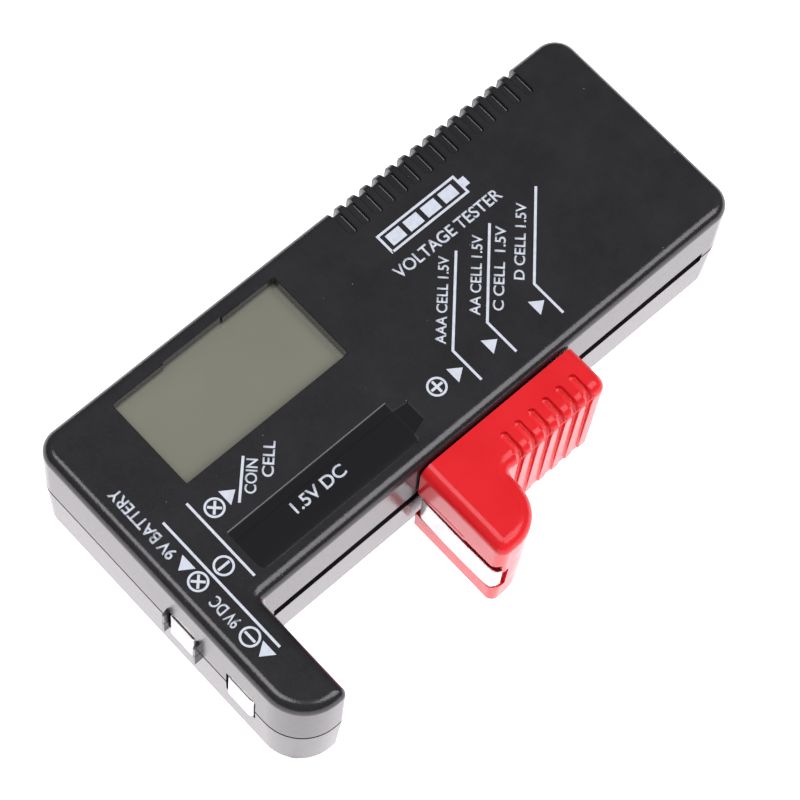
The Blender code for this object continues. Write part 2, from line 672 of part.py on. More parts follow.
def wires():
    pad = BOARD_LOW[2] - GAP - 0.5
    wire("wire_nine_volt_positive", [(3.0, POSITIVE_Y + 3.7, 12.0), (5.0, 12.5, 11.0), (8.6, 15.5, 12.0),
                                     (11.6, 17.5, pad)], MAT_WIRE_RED)
    low_run = [(3.0, NEGATIVE_Y + 3.8, 11.0), (4.6, 1.0, 9.0), (7.6, 8.0, 8.2), (12.0, 13.6, 9.0),
               (15.0, 17.6, 12.0), (15.6, 18.2, pad)]
    wire("wire_nine_volt_negative", low_run, MAT_WIRE_BLACK)
    wire("wire_cell_negative", [(6.9, CELL_PAD_HIGH + 0.9, 13.5), (6.4, 2.5, 13.2), (8.2, 7.0, 13.0),
                                (13.0, 8.6, 13.6), (16.5, 10.4, pad)], MAT_WIRE_BLACK)
    wire("wire_rail", [(33.0, RAIL_Y + 1.3, 12.5), (33.4, 9.2, 11.8), (34.2, 11.6, 12.8), (34.6, 13.0, pad)],
         MAT_WIRE_RED)


# ---------------------------------------------------------------- screws

def cross_recess(head_radius):
    """Plus-shaped driver recess, cut into the head from below."""
    arm, half = head_radius * 0.6, 0.3
    quarter = [(half, arm), (half, half), (arm, half)]
    outline = []
    for turn in range(4):
        angle = -turn * math.pi / 2
        outline += [(x * math.cos(angle) - y * math.sin(angle), x * math.sin(angle) + y * math.cos(angle))
                    for x, y in quarter]
    return plate(outline, -0.5, 0.8, along_z)


def screw(name, x, y, z, head_radius, head_height, shank_radius, length):
    """Pan-head screw pointing up, its head's lower face at z."""
    profile = [(0, length), (shank_radius * 0.5, length), (shank_radius, length - 0.9),
               (shank_radius, head_height), (head_radius, head_height), (head_radius, 0.35),
               (head_radius - 0.4, 0.0), (0, 0.0)]
    obj = turned(name, profile, MAT_STEEL, 14)
    obj.location = Vector((x, y, z)) * MM
    recess = as_cutter(name + "_recess", cross_recess(head_radius))
    recess.location = obj.location
    boolean(obj, recess, "DIFFERENCE")
    return obj


def screws():
    for i, (x, y) in enumerate(CASE_BOSSES):
        screw(f"case_screw_{i + 1}", x, y, 0.9, 2.2, 1.4, 1.1, 16.0)
    for i, (x, y) in enumerate(BOARD_BOSSES):
        screw(f"board_screw_{i + 1}", x, y, BOARD_LOW[2] - GAP - 1.2, 1.8, 1.2, 0.85, 6.4)


def build():
    smooth(front_shell())
    smooth(back_shell())
    smooth(slider_body())
    slider_contact()
    slider_wiper()
    contact_rail()
    snap_contact("nine_volt_positive_contact", POSITIVE_Y, 0.15)
    snap_contact("nine_volt_negative_contact", NEGATIVE_Y, 0.0)
    cell_negative_contact()
    display()
    circuit_board()
    board_parts()
    wires()
    screws()


build()
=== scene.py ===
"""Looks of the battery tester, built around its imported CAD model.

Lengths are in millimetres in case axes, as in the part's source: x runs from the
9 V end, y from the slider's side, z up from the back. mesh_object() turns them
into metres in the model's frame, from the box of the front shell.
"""
import math

import bmesh
import bpy
from mathutils import Matrix, Vector

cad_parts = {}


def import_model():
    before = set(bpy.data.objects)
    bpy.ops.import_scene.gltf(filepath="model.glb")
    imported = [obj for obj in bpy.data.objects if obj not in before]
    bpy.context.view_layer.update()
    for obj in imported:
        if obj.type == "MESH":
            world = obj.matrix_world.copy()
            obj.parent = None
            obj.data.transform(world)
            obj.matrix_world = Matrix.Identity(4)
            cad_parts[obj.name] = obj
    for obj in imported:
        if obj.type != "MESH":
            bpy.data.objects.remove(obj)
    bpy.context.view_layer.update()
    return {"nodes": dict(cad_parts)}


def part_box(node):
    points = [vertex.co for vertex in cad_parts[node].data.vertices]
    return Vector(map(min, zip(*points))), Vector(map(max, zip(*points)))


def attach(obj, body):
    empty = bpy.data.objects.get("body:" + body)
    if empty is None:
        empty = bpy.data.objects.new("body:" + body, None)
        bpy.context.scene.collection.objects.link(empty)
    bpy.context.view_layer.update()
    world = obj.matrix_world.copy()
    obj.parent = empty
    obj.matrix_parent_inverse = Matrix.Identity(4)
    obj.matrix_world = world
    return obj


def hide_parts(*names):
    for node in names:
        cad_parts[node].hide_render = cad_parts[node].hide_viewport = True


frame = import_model()

MM = 0.001

# The case
CASE_LENGTH = 108.0
CASE_WIDTH = 40.5
CASE_HEIGHT = 24.0
PRINT_THICKNESS = 0.015
FACE_Z = CASE_HEIGHT - PRINT_THICKNESS
ARM_THICKNESS = 9.45
ARM_REACH = 19.0
SEAM_TOP = 11.85
SEAM_BOTTOM = 11.55
WALL = 1.8
TOP_WALL = 2.0
TOP_FILLET = 1.9
BACK_DRAFT = 0.5
BACK_FILLET = 0.5
CORNER_STEPS = 12
FILLET_STEPS = 12
GROOVE_END_STEPS = 6
BEND_STEPS = 5
SEAM_CHAMFER = 0.12
EDGE_CHAMFER = 0.14
OVERCUT = 0.3
MIN_RADIUS = 0.05

CASE_CORNERS = [
    (0.0, -ARM_REACH, 7.4),
    (ARM_THICKNESS, -ARM_REACH, 1.2),
    (ARM_THICKNESS, 0.0, 0.8),
    (CASE_LENGTH, 0.0, 4.0),
    (CASE_LENGTH, CASE_WIDTH, 4.0),
    (0.0, CASE_WIDTH, 4.0),
]
CAVITY_CORNERS = [
    (WALL, WALL - ARM_REACH, 4.0),
    (ARM_THICKNESS - WALL, WALL - ARM_REACH, 1.0),
    (ARM_THICKNESS - WALL, WALL, 1.5),
    (CASE_LENGTH - WALL, WALL, 2.2),
    (CASE_LENGTH - WALL, CASE_WIDTH - WALL, 2.2),
    (WALL, CASE_WIDTH - WALL, 2.2),
]
EAR_PROUD = 1.0
EAR_WIDTH = 0.8
EAR_TOP = 16.6

# The screws, their bosses and their bores
CASE_BOSSES = [(5.2, 33.0), (4.7, -14.0), (102.0, 34.5), (101.8, 10.6)]
FRONT_BOSS_RADIUS = 2.75
BACK_BOSS_RADIUS = 3.4
BORE_RADIUS = 1.4
COUNTERBORE_RADIUS = 2.6
COUNTERBORE_DEPTH = 2.6
COUNTERBORE_CHAMFER = 0.2
ROUND_STEPS = 48

# The grip grooves over the case's long edge
RIB_COUNT = 15
RIB_FIRST = 59.5
RIB_PITCH = 2.665
RIB_DEPTH = 0.8
RIB_HALF = 0.725
RIB_INNER_END = CASE_WIDTH - 5.8
RIB_CHAMFER = 0.12

# The display opening, and the shallow step in its far wall
LCD_CORNERS = ((13.1, 20.6), (45.1, 37.35))
LCD_STEP = ((23.1, 37.0, 20.0), (34.8, 37.62, FACE_Z + 0.5))

# The battery-shaped trough: its floor's depth is given against the distance from its high side
TROUGH_START = 12.35
TROUGH_END = 43.85
TROUGH_LOW = 2.85
TROUGH_HIGH = 10.93
BUTTON_DEPTH = 0.38
# Box over the trough's floor: the case is polished there, and its colour is darkened as painted shade.
TROUGH_POLISH_AND_SHADE_BOX = ((12.4, 2.9, 22.6), (46.6, 10.9, FACE_Z - 0.12))
TROUGH_DEPTHS = [(0.0, 0.01), (0.14, 0.06), (0.16, 0.30), (1.85, 0.32), (1.95, 0.42), (4.6, 0.42),
                 (5.8, 0.44), (6.6, 0.475), (7.2, 0.52), (7.6, 0.565), (7.85, 0.60), (8.08, 0.635)]

# The slider and its slot
SLOT_START = 12.2
SLOT_END = 102.4
SLOT_LOW = 10.4
SLOT_HIGH = 13.2
SLIDER_START = 40.9
SLIDER_END = 72.3
SLIDER_TOP = 22.3
SLIDER_BOTTOM = 0.3
SLIDER_DEPTH = 8.4
LOBE_DEPTH = 18.1
LOBE_END = 51.0
SLIDER_FILLET = 2.2
SLIDER_DRAFT = 0.35
GRIP_COUNT = 6
GRIP_TIP = -3.65
GRIP_FIRST = 54.15
GRIP_PITCH = 2.85
GRIP_HALF = 0.75
GRIP_WALL_DEPTH = 0.63
POCKET_START = 38.0
NECK_START = 44.0
NECK_END = 70.3
SLIDER_CORNERS = [
    (SLIDER_START, 3.0, 0.5),
    (SLIDER_START, -LOBE_DEPTH, 1.8),
    (LOBE_END, -LOBE_DEPTH, 6.8),
    (LOBE_END, -SLIDER_DEPTH, 1.2),
    (SLIDER_END, -SLIDER_DEPTH, 1.8),
    (SLIDER_END, 3.0, 0.5),
]

# Contacts
POSITIVE_Y = 6.4
NEGATIVE_Y = -6.3
SNAP_HALF = 2.9
CONTACT_LOW = 8.6
CONTACT_HIGH = 15.2
WINDOW_LOW = 8.3
WINDOW_HIGH = 15.5
CELL_PAD_LOW = -10.0
CELL_PAD_HIGH = -2.6
STRIP_THICKNESS = 0.35
STRIP_SHY = 0.05
GAP = 0.3

# Print
SUNK = 0.05
SIGN_ARM = 1.1
STROKE_WIDTH = 0.42
HOOP_RADIUS = 1.45
HOOP_WIDTH = 0.36
HOOP_STEPS = 40
ARROW_HALF = 1.45
ARROW_LENGTH = 2.1
LETTER_WEIGHT = 0.016
WORD_SPACE = 0.8

SHARP_ANGLE = math.radians(32)

# Where the case axes' origin lies in the model's frame
shell_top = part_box("front_shell")[1]
DATUM = shell_top - Vector((CASE_LENGTH, CASE_WIDTH, CASE_HEIGHT)) * MM


# ---------------------------------------------------------------- mesh helpers

def add_object(name, data):
    obj = bpy.data.objects.new(name, data)
    bpy.context.scene.collection.objects.link(obj)
    return obj


def mesh_object(name, bm):
    """A bmesh in case axes and millimetres, as an object in the model's frame."""
    for vert in bm.verts:
        vert.co = DATUM + vert.co * MM
    mesh = bpy.data.meshes.new(name)
    bm.to_mesh(mesh)
    bm.free()
    return add_object(name, mesh)


def outward(bm):
    """Turn a closed solid's faces outward."""
    bmesh.ops.recalc_face_normals(bm, faces=bm.faces)
    if bm.calc_volume(signed=True) < 0:
        bmesh.ops.reverse_faces(bm, faces=bm.faces)
    return bm


def loft(rings, bm=None):
    """Close a stack of rings into a solid, added to bm where one is given."""
    bm = bm or bmesh.new()
    loops = [[bm.verts.new(point) for point in ring] for ring in rings]
    count = len(loops[0])
    for lower, upper in zip(loops, loops[1:]):
        for i in range(count):
            j = (i + 1) % count
            bm.faces.new((lower[i], lower[j], upper[j], upper[i]))
    bm.faces.new(list(reversed(loops[0])))
    bm.faces.new(loops[-1])
    return bm


def rounded(corners, inset=0.0, steps=CORNER_STEPS):
    """Outline through (x, y, radius) corners, anticlockwise, drawn in by inset."""
    count = len(corners)
    points = [Vector(corner[:2]) for corner in corners]
    edges = [(points[(i + 1) % count] - points[i]).normalized() for i in range(count)]
    outline = []
    for i, (x, y, radius) in enumerate(corners):
        before, after = edges[i - 1], edges[i]
        turn = before.x * after.y - before.y * after.x
        inward = Vector((-before.y - after.y, before.x + after.x)) / (1 + before.dot(after))
        corner = points[i] + inward * inset
        radius = radius + inset if turn < 0 else radius - inset
        radius = max(radius, MIN_RADIUS)
        half = (math.pi - math.acos(max(-1.0, min(1.0, before.dot(after))))) / 2
        centre = corner + (after - before).normalized() * radius / math.sin(half)
        start = corner - before * radius / math.tan(half) - centre
        sweep = math.copysign(math.pi - 2 * half, turn)
        for k in range(steps + 1):
            angle = sweep * k / steps
            outline.append((centre.x + start.x * math.cos(angle) - start.y * math.sin(angle),
                            centre.y + start.x * math.sin(angle) + start.y * math.cos(angle)))
    return outline


def rectangle(low, high, radius):
    return [(low[0], low[1], radius), (high[0], low[1], radius),
            (high[0], high[1], radius), (low[0], high[1], radius)]


def ring(corners, inset, z, steps=CORNER_STEPS):
    return [(x, y, z) for x, y in rounded(corners, inset, steps)]


def fillet_rings(corners, height, radius):
    """Rings that round an outline's top edge over to the flat at height."""
    rings = []
    for k in range(FILLET_STEPS + 1):
        angle = math.pi / 2 * k / FILLET_STEPS
        drawn_in = radius * (1 - math.cos(angle))
        rings.append(ring(corners, drawn_in, height - radius + radius * math.sin(angle)))
    return rings


def circle(x, y, radius, z, steps=ROUND_STEPS):
    angles = [2 * math.pi * k / steps for k in range(steps)]
    return [(x + radius * math.cos(a), y + radius * math.sin(a), z) for a in angles]


def turned(origin, u, v, angle):
    """The point (u, v) turned by an angle in radians and moved to origin."""
    return (origin[0] + u * math.cos(angle) - v * math.sin(angle),
            origin[1] + u * math.sin(angle) + v * math.cos(angle))


def boxes(pairs):
    """Boxes, each given by its low and high corners."""
    bm = bmesh.new()
    for low, high in pairs:
        size = [b - a for a, b in zip(low, high)]
        middle = [(a + b) / 2 for a, b in zip(low, high)]
        placed = Matrix.Translation(middle) @ Matrix.Diagonal((*size, 1.0))
        bmesh.ops.create_cube(bm, size=1.0, matrix=placed)
    return bm


def boss_cylinders(radius, low, high):
    """A cylinder on each boss's axis."""
    bm = bmesh.new()
    for x, y in CASE_BOSSES:
        placed = Matrix.Translation((x, y, (low + high) / 2))
        bmesh.ops.create_cone(bm, cap_ends=True, segments=32, radius1=radius,
                              radius2=radius, depth=high - low, matrix=placed)
    return bm


def prism(outline, low, high, to_space, bm=None):
    """Extrude a flat outline from low to high; to_space(u, v, w) places each corner."""
    rings = [[to_space(u, v, w) for u, v in outline] for w in (low, high)]
    return loft(rings, bm)


def along_x(u, v, w):
    return (w, u, v)


def along_y(u, v, w):
    return (u, w, v)


def along_z(u, v, w):
    return (u, v, w)


def boolean(obj, bm, operation="DIFFERENCE"):
    """Cut bm from obj, or join it, and keep the result as obj's own mesh."""
    tool = mesh_object("tool", outward(bm))
    modifier = obj.modifiers.new("tool", "BOOLEAN")
    modifier.object = tool
    modifier.operation = operation
    modifier.solver = "EXACT"
    bpy.context.view_layer.update()
    evaluated = obj.evaluated_get(bpy.context.evaluated_depsgraph_get())
    mesh = bpy.data.meshes.new_from_object(evaluated)
    obj.modifiers.clear()
    spent = obj.data
    obj.data = mesh
    bpy.data.meshes.remove(spent)
    bpy.data.objects.remove(tool)


def finish_piece(obj, mat, body, node_name):
    """Shade a finished piece, give it its material and hang it on its body."""
    obj.data.shade_smooth()
    obj.data.set_sharp_from_angle(angle=SHARP_ANGLE)
    weighted = obj.modifiers.new("weighted", "WEIGHTED_NORMAL")
    weighted.keep_sharp = True
    weighted.weight = 100
    obj.data.materials.clear()
    obj.data.materials.append(mat)
    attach(obj, body)
    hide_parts(node_name)


# ---------------------------------------------------------------- materials

def new_material(name):
    mat = bpy.data.materials.new(name)
    mat.use_nodes = True
    return mat, mat.node_tree.nodes, mat.node_tree.links


def node(nodes, kind, **values):
    made = nodes.new(kind)
    for key, value in values.items():
        setattr(made, key, value)
    return made


def noise(nodes, links, coords, scale, detail=3.0, roughness=0.5):
    """Noise over object coordinates; scale is in cycles per millimetre."""
    made = node(nodes, "ShaderNodeTexNoise")
    made.inputs["Scale"].default_value = scale / MM
    made.inputs["Detail"].default_value = detail
    made.inputs["Roughness"].default_value = roughness
    links.new(coords, made.inputs["Vector"])
    return made.outputs["Fac"]


def ramp(nodes, links, value, low, high, positions=(0.3, 0.7)):
    """Colour ramp between two linear colours or greys."""
    made = node(nodes, "ShaderNodeValToRGB")
    for stop, colour, place in zip(made.color_ramp.elements, (low, high), positions):
        stop.color = (*colour, 1.0) if isinstance(colour, tuple) else (colour, colour, colour, 1.0)
        stop.position = place
    links.new(value, made.inputs["Fac"])
    return made.outputs["Color"]


def feed(links, socket, value):
    """Set a socket to a number, or link another socket to it."""
    if isinstance(value, float):
        socket.default_value = value
    else:
        links.new(value, socket)


def bump(nodes, links, height, distance, strength):
    """Bump normal; distance is in millimetres, and strength is a number or a socket."""
    made = node(nodes, "ShaderNodeBump")
    made.inputs["Distance"].default_value = distance * MM
    feed(links, made.inputs["Strength"], strength)
    links.new(height, made.inputs["Height"])
    return made.outputs["Normal"]


def blend(nodes, links, factor, low, high):
    """low, a number or a socket, where factor is 0; high, a number or a colour, where it is 1."""
    is_colour = isinstance(high, tuple)
    made = node(nodes, "ShaderNodeMix", data_type="RGBA" if is_colour else "FLOAT")
    links.new(factor, made.inputs["Factor"])
    feed(links, made.inputs["A"], low)
    made.inputs["B"].default_value = (*high, 1.0) if is_colour else high
    return made.outputs["Result"]


def inside(nodes, links, coords, low, high):
    """1 inside a box in case axes and millimetres, 0 outside it."""
    centre = DATUM + (Vector(low) + Vector(high)) / 2 * MM
    half = (Vector(high) - Vector(low)) / 2 * MM
    offset = node(nodes, "ShaderNodeVectorMath", operation="SUBTRACT")
    links.new(coords, offset.inputs[0])
    offset.inputs[1].default_value = centre
    scaled = node(nodes, "ShaderNodeVectorMath", operation="DIVIDE")
    links.new(offset.outputs[0], scaled.inputs[0])
    scaled.inputs[1].default_value = half
    size = node(nodes, "ShaderNodeVectorMath", operation="ABSOLUTE")
    links.new(scaled.outputs[0], size.inputs[0])
    split = node(nodes, "ShaderNodeSeparateXYZ")
    links.new(size.outputs[0], split.inputs[0])
    value = None
    for axis in "XYZ":
        below = node(nodes, "ShaderNodeMath", operation="LESS_THAN")
        links.new(split.outputs[axis], below.inputs[0])
        below.inputs[1].default_value = 1.0
        if value is None:
            value = below.outputs[0]
            continue
        both = node(nodes, "ShaderNodeMath", operation="MULTIPLY")
        links.new(value, both.inputs[0])
        links.new(below.outputs[0], both.inputs[1])
        value = both.outputs[0]
    return value


def case_plastic():
    """Black ABS with a spark-eroded texture, faint mottling and a few dust specks.

    The trough's floor is polished, and its colour is darkened there as painted shade of the recess.
    """
    mat, nodes, links = new_material("case_abs")
    shader = nodes["Principled BSDF"]
    coords = node(nodes, "ShaderNodeTexCoord").outputs["Object"]
    mottle = noise(nodes, links, coords, 0.08, 7.0, 0.75)
    base = ramp(nodes, links, mottle, (0.009, 0.0086, 0.011), (0.021, 0.020, 0.024))
    dust = node(nodes, "ShaderNodeTexVoronoi", feature="F1")
    dust.inputs["Scale"].default_value = 0.33 / MM
    links.new(coords, dust.inputs["Vector"])
    speck = ramp(nodes, links, dust.outputs["Distance"], 1.0, 0.0, (0.02, 0.035))
    dusty = blend(nodes, links, speck, base, (0.22, 0.22, 0.23))
    # Inside the trough: a real polished finish, and a near-black colour that is painted shade of the
    # recess.
    polish_and_shade = inside(nodes, links, coords, *TROUGH_POLISH_AND_SHADE_BOX)
    links.new(blend(nodes, links, polish_and_shade, dusty, (0.004, 0.004, 0.006)),
              shader.inputs["Base Color"])
    grain = noise(nodes, links, coords, 2.4, 2.5, 0.7)
    textured = ramp(nodes, links, grain, 0.15, 0.23)
    links.new(blend(nodes, links, polish_and_shade, textured, 0.14), shader.inputs["Roughness"])
    depth = blend(nodes, links, polish_and_shade, 0.75, 0.06)
    links.new(bump(nodes, links, grain, 0.03, depth), shader.inputs["Normal"])
    shader.inputs["IOR"].default_value = 1.52
    return mat


def red_plastic():
    """Glossy red ABS with a slight orange peel."""
    mat, nodes, links = new_material("slider_abs")
    shader = nodes["Principled BSDF"]
    coords = node(nodes, "ShaderNodeTexCoord").outputs["Object"]
    cloud = noise(nodes, links, coords, 0.12, 3.0)
    links.new(ramp(nodes, links, cloud, (0.75, 0.015, 0.021), (0.81, 0.021, 0.028)),
              shader.inputs["Base Color"])
    smudge = noise(nodes, links, coords, 0.4, 4.0)
    links.new(ramp(nodes, links, smudge, 0.15, 0.24), shader.inputs["Roughness"])
    peel = noise(nodes, links, coords, 2.4, 2.0)
    links.new(bump(nodes, links, peel, 0.02, 0.35), shader.inputs["Normal"])
    shader.inputs["IOR"].default_value = 1.5
    shader.inputs["Specular IOR Level"].default_value = 0.26
    shader.inputs["Subsurface Weight"].default_value = 0.08
    shader.inputs["Subsurface Radius"].default_value = (0.0012, 0.0002, 0.0002)
    return mat


def plated_metal(name, colour, roughness):
    """Plated sheet metal with fine rolling lines along its length and light wear."""
    mat, nodes, links = new_material(name)
    shader = nodes["Principled BSDF"]
    shader.inputs["Metallic"].default_value = 1.0
    coords = node(nodes, "ShaderNodeTexCoord").outputs["Object"]
    stretch = node(nodes, "ShaderNodeMapping")
    stretch.inputs["Scale"].default_value = (0.15, 0.15, 1.0)
    links.new(coords, stretch.inputs["Vector"])
    lines = noise(nodes, links, stretch.outputs["Vector"], 3.0, 4.0, 0.6)
    wear = noise(nodes, links, coords, 0.5, 4.0)
    links.new(ramp(nodes, links, wear, tuple(c * 0.78 for c in colour), colour, (0.3, 0.6)),
              shader.inputs["Base Color"])
    links.new(ramp(nodes, links, lines, roughness * 0.75, roughness * 1.3),
              shader.inputs["Roughness"])
    links.new(bump(nodes, links, lines, 0.01, 0.3), shader.inputs["Normal"])
    return mat


def moulded(name, low, high, roughness, scale=0.6, grain=0.02):
    """Plain moulded, lacquered or printed surface with slight colour variation."""
    mat, nodes, links = new_material(name)
    shader = nodes["Principled BSDF"]
    coords = node(nodes, "ShaderNodeTexCoord").outputs["Object"]
    cloud = noise(nodes, links, coords, scale, 4.0)
    links.new(ramp(nodes, links, cloud, low, high), shader.inputs["Base Color"])
    links.new(ramp(nodes, links, cloud, roughness * 0.85, roughness * 1.15),
              shader.inputs["Roughness"])
    fine = noise(nodes, links, coords, scale * 4, 3.0)
    links.new(bump(nodes, links, fine, grain, 0.4), shader.inputs["Normal"])
    return mat


def display_glass():
    """Blank liquid crystal glass: a grey-olive film under a clear, nearly clean surface."""
    mat, nodes, links = new_material("display_film")
    shader = nodes["Principled BSDF"]
    coords = node(nodes, "ShaderNodeTexCoord").outputs["Object"]
    cloud = noise(nodes, links, coords, 0.05, 3.0)
    links.new(ramp(nodes, links, cloud, (0.206, 0.211, 0.167), (0.226, 0.230, 0.183)),
              shader.inputs["Base Color"])
    grain = noise(nodes, links, coords, 3.0, 2.0)
    links.new(ramp(nodes, links, grain, 0.10, 0.16), shader.inputs["Roughness"])
    links.new(bump(nodes, links, grain, 0.004, 0.15), shader.inputs["Normal"])
    shader.inputs["IOR"].default_value = 1.52
    return mat


CASE_PLASTIC = case_plastic()
RED_PLASTIC = red_plastic()
NICKEL = plated_metal("nickel_strip", (0.60, 0.585, 0.575), 0.20)
STEEL = plated_metal("zinc_screw", (0.62, 0.62, 0.63), 0.30)
GLASS = display_glass()
PRINT = moulded("white_print", (0.60, 0.66, 0.75), (0.72, 0.77, 0.85), 0.45, 1.2, 0.01)


# ---------------------------------------------------------------- the two covers

def window_boxes():
    """Openings for the contacts in the 9 V end and the arm, and the slider's slot."""
    through = WALL + 0.4
    snaps = [((-1.5, y - SNAP_HALF - GAP, WINDOW_LOW), (through, y + SNAP_HALF + GAP, WINDOW_HIGH))
             for y in (POSITIVE_Y, NEGATIVE_Y)]
    cell = ((ARM_THICKNESS - WALL - 0.4, CELL_PAD_LOW - GAP, WINDOW_LOW),
            (ARM_THICKNESS + 1.0, CELL_PAD_HIGH + GAP, WINDOW_HIGH))
    slot = ((SLOT_START, -1.0, SLOT_LOW), (SLOT_END, through, SLOT_HIGH))
    return boxes(snaps + [cell, slot])


def ears(low, high, narrow):
    """Two polarity ears beside the positive snap, chamfered below and sloped above."""
    top = min(high, EAR_TOP)
    slope = [(0.8, low), (0.12 - EAR_PROUD, low), (-EAR_PROUD, low + 0.12),
             (-EAR_PROUD, min(top, 14.7)), (0.1 - EAR_PROUD, min(top, 15.0)), (0.8, top)]
    bm = bmesh.new()
    for side in (-1, 1):
        inner = POSITIVE_Y + side * (SNAP_HALF + narrow)
        outer = POSITIVE_Y + side * (SNAP_HALF + EAR_WIDTH)
        prism(slope, min(inner, outer), max(inner, outer), along_y, bm)
    return bm


def groove(centre, stations, chamfer):
    """Rings of the cutter for one grip groove that follows a surface.

    Each station is (surface point, outward normal, depth, half width), with the
    point and normal in the (y, z) plane. The floor's corners are rounded and the
    mouth is chamfered.
    """
    rings = []
    for surface, normal, depth, half in stations:
        floor_round = min(0.25, half * 0.6, depth * 0.5)
        section = [(-half + floor_round, -depth),
                   (-half + floor_round * 0.3, -depth + floor_round * 0.3),
                   (-half, -depth + floor_round), (-half, -chamfer),
                   (-half - chamfer - OVERCUT, OVERCUT)]
        section += [(-x, out) for x, out in reversed(section)]
        rings.append([(centre + x, surface[0] + normal[0] * out, surface[1] + normal[1] * out)
                      for x, out in section])
    return rings


def rounded_end(end, direction, half):
    """Each (y, half width) over the half-round inner end of a groove."""
    angles = [math.pi / 2 * (k + 0.35) / GROOVE_END_STEPS for k in range(GROOVE_END_STEPS)]
    return [(end + direction * half * (1 - math.cos(a)), half * math.sin(a)) for a in angles]


def on_arc(centre, radius, normal):
    return (centre[0] + radius * normal[0], centre[1] + radius * normal[1])


def rib_grooves():
    """The grooves over the long edge, from the face down the side wall."""
    up, out = (0.0, 1.0), (1.0, 0.0)
    stations = [((y, FACE_Z), up, RIB_DEPTH, width)
                for y, width in rounded_end(RIB_INNER_END, 1, RIB_HALF)]
    stations.append(((RIB_INNER_END + RIB_HALF, FACE_Z), up, RIB_DEPTH, RIB_HALF))
    centre = (CASE_WIDTH - TOP_FILLET, FACE_Z - TOP_FILLET)
    for k in range(9):
        angle = math.pi / 2 * k / 8
        normal = (math.sin(angle), math.cos(angle))
        stations.append((on_arc(centre, TOP_FILLET, normal), normal, RIB_DEPTH, RIB_HALF))
    for z, depth in ((16.0, RIB_DEPTH), (15.2, RIB_DEPTH * 0.6), (14.7, 0.16)):
        stations.append(((CASE_WIDTH, z), out, depth, RIB_HALF))
    bm = bmesh.new()
    for i in range(RIB_COUNT):
        loft(groove(RIB_FIRST + RIB_PITCH * i, stations, RIB_CHAMFER), bm)
    return bm


def trough_floor(y):
    """Height of the trough's concave floor at y."""
    across = TROUGH_HIGH - y
    for (start, upper), (end, lower) in zip(TROUGH_DEPTHS, TROUGH_DEPTHS[1:]):
        if across <= end:
            return FACE_Z - upper - (lower - upper) * (across - start) / (end - start)
    return FACE_Z - TROUGH_DEPTHS[-1][1]


def trough():
    """Cutter for the battery-shaped recess: a concave floor and the cell's button."""
    low, high = TROUGH_LOW, TROUGH_HIGH
    floor_line = [(high - across, FACE_Z - depth) for across, depth in TROUGH_DEPTHS]
    section = floor_line + [(low, FACE_Z + 1.0), (high, FACE_Z + 1.0)]
    body = mesh_object("trough", outward(prism(section, TROUGH_START, TROUGH_END - 0.05, along_x)))
    corners = rectangle((TROUGH_START, low), (TROUGH_END, high), 1.2)
    corners[2] = (TROUGH_END, high, 0.15)
    corners[3] = (TROUGH_START, high, 0.15)
    boolean(body, prism(rounded(corners, 0, 5), FACE_Z - 3, FACE_Z + 2, along_z), "INTERSECT")
    button = [(43.0, 4.1, 0.2), (46.6, 5.2, 0.4), (46.55, 8.93, 0.12), (43.0, 9.35, 0.2)]
    outline = rounded(button, 0, 4)
    boolean(body, prism(outline, FACE_Z - BUTTON_DEPTH, FACE_Z + 1.0, along_z), "UNION")
    cutter = bmesh.new()
    cutter.from_mesh(body.data)
    for vert in cutter.verts:
        vert.co = (vert.co - DATUM) / MM
    bpy.data.objects.remove(body)
    return cutter


def lcd_opening():
    """Cutter for the display opening: plumb walls, and a mouth flared to chamfer the rim."""
    corners = rectangle(*LCD_CORNERS, 0.25)
    levels = [(FACE_Z - 4.0, 0.0), (FACE_Z - EDGE_CHAMFER, 0.0),
              (FACE_Z + OVERCUT, -EDGE_CHAMFER - OVERCUT)]
    return loft([ring(corners, inset, z, 3) for z, inset in levels])


def front_cover():
    rings = [ring(CASE_CORNERS, SEAM_CHAMFER, SEAM_TOP),
             ring(CASE_CORNERS, 0.0, SEAM_TOP + SEAM_CHAMFER)]
    rings += fillet_rings(CASE_CORNERS, FACE_Z, TOP_FILLET)
    cover = mesh_object("front_cover", loft(rings))
    ends = (SEAM_BOTTOM - 1, CASE_HEIGHT - TOP_WALL)
    boolean(cover, loft([ring(CAVITY_CORNERS, 0.0, z) for z in ends]))
    boolean(cover, boss_cylinders(FRONT_BOSS_RADIUS, SEAM_TOP + 0.1, 22.6), "UNION")
    boolean(cover, boss_cylinders(BORE_RADIUS, 10.0, 19.5))
    boolean(cover, ears(SEAM_TOP, CASE_HEIGHT, 0.12), "UNION")
    boolean(cover, window_boxes())
    boolean(cover, lcd_opening())
    boolean(cover, boxes([LCD_STEP]))
    boolean(cover, trough())
    boolean(cover, rib_grooves())
    finish_piece(cover, CASE_PLASTIC, "case", "front_shell")


